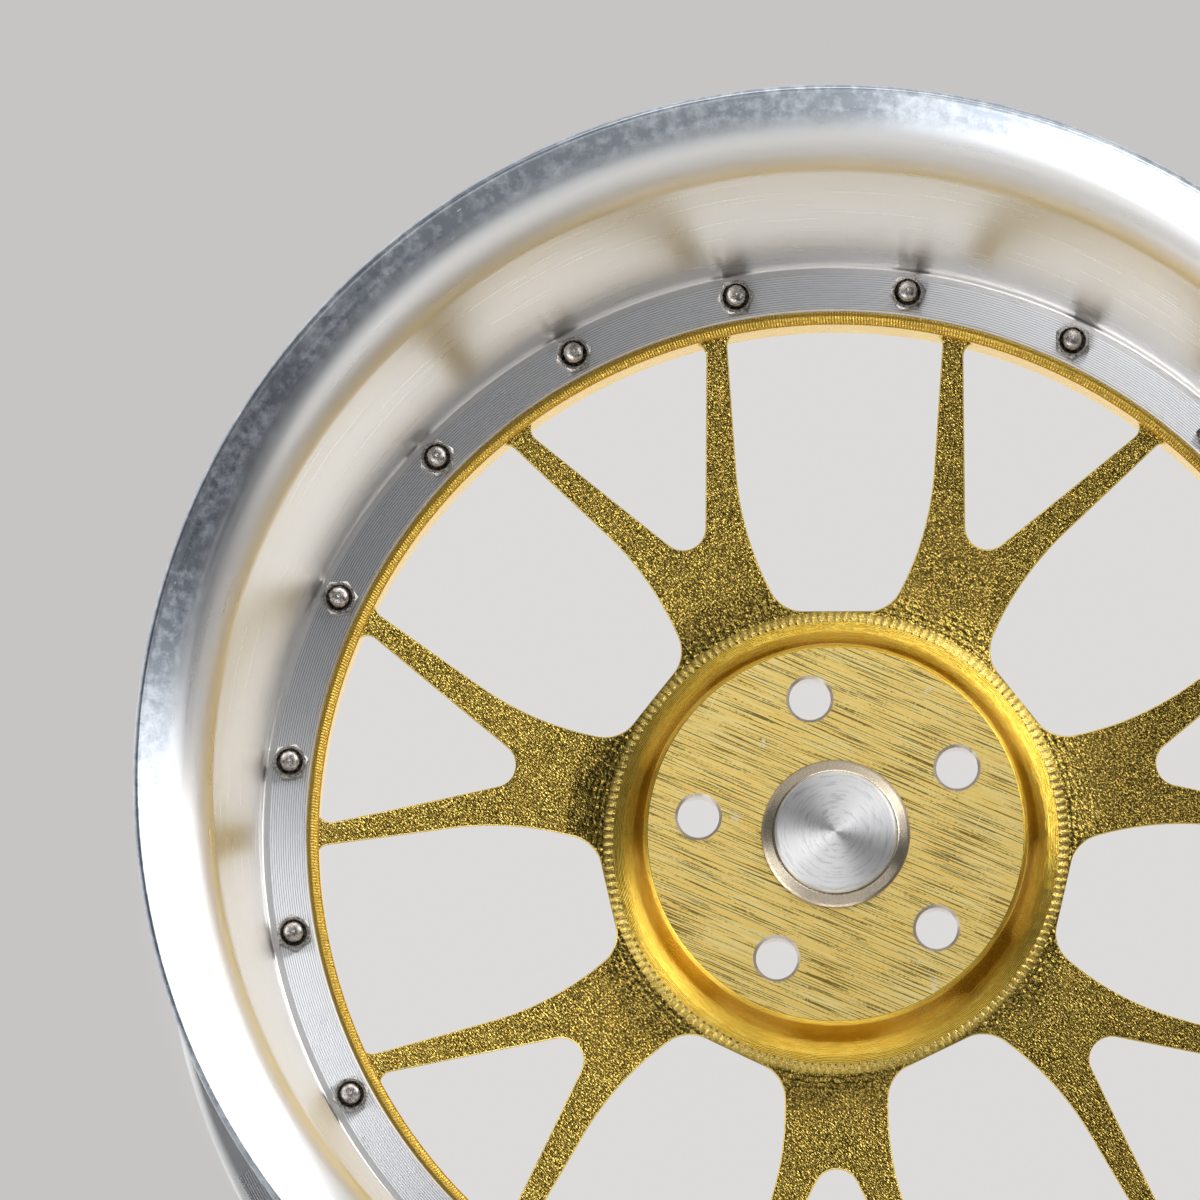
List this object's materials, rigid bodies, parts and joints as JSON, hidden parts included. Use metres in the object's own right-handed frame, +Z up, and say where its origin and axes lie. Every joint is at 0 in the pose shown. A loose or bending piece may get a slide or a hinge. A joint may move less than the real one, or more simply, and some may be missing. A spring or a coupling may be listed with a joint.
{
  "type": "racing wheel rim",
  "caption": "Modular forged racing wheel rim: deep polished lip, gold forked-spoke centre disc and inner barrel, bolted together, with centre cap and tyre valve.",
  "frame": {"origin": "on the wheel's axis, halfway between the two rim edges; the outboard face of the hub lies in the same plane", "axes": "+Y along the axis, away from the outboard face and towards the vehicle; +Z up; the tyre valve stands at -Z"},
  "size_m": [0.4965, 0.33, 0.4966],
  "materials": {
    "lip_polished": "turned and polished, with fine scratches on the rim edge",
    "barrel_turned": "turned, satin",
    "disc_gold": "gold anodised over visible ball-mill marks, hub face brushed",
    "steel": "machined, slightly worn",
    "cap_turned": "bright turned, circular tool marks",
    "rubber": "matte",
    "sealant": "smoothed bead, satin",
    "valve_metal": "nickel plated, satin",
    "brass": "machined",
    "ptfe": "smooth"
  },
  "bodies": {
    "wheel": {"outer_lip": "lip_polished", "inner_barrel": "barrel_turned", "centre_disc": "disc_gold", "rim_seal": "sealant", "assembly_bolts": "steel", "bolt_washers": "steel", "assembly_nuts": "steel", "valve_body": "valve_metal", "valve_grommet": "rubber", "valve_washer": "valve_metal", "valve_nut": "valve_metal", "valve_core_body": "brass", "valve_core_gasket": "ptfe", "valve_core_spring": "steel"},
    "hub_cap": {"centre_cap": "cap_turned", "cap_o_ring": "rubber"},
    "valve_pin": {"valve_core_pin": "brass", "valve_core_seal": "rubber"},
    "dust_cap": {"valve_cap": "valve_metal", "valve_cap_gasket": "rubber"}
  },
  "joints": [
    {"name": "cap_pull_off", "type": "slide", "parent": "wheel", "child": "hub_cap", "axis": [0, -1, 0], "range_m": [0, 0.04]},
    {"name": "valve_pin_press", "type": "slide", "parent": "wheel", "child": "valve_pin", "axis": [0, 0, -1], "range_m": [0, 0.0013], "stiffness_N_per_m": 2000, "springref_m": -0.0015, "deforming": ["valve_core_spring"]},
    {"name": "dust_cap_off", "type": "slide", "parent": "wheel", "child": "dust_cap", "axis": [0, 0, 1], "range_m": [0, 0.02]}
  ]
}
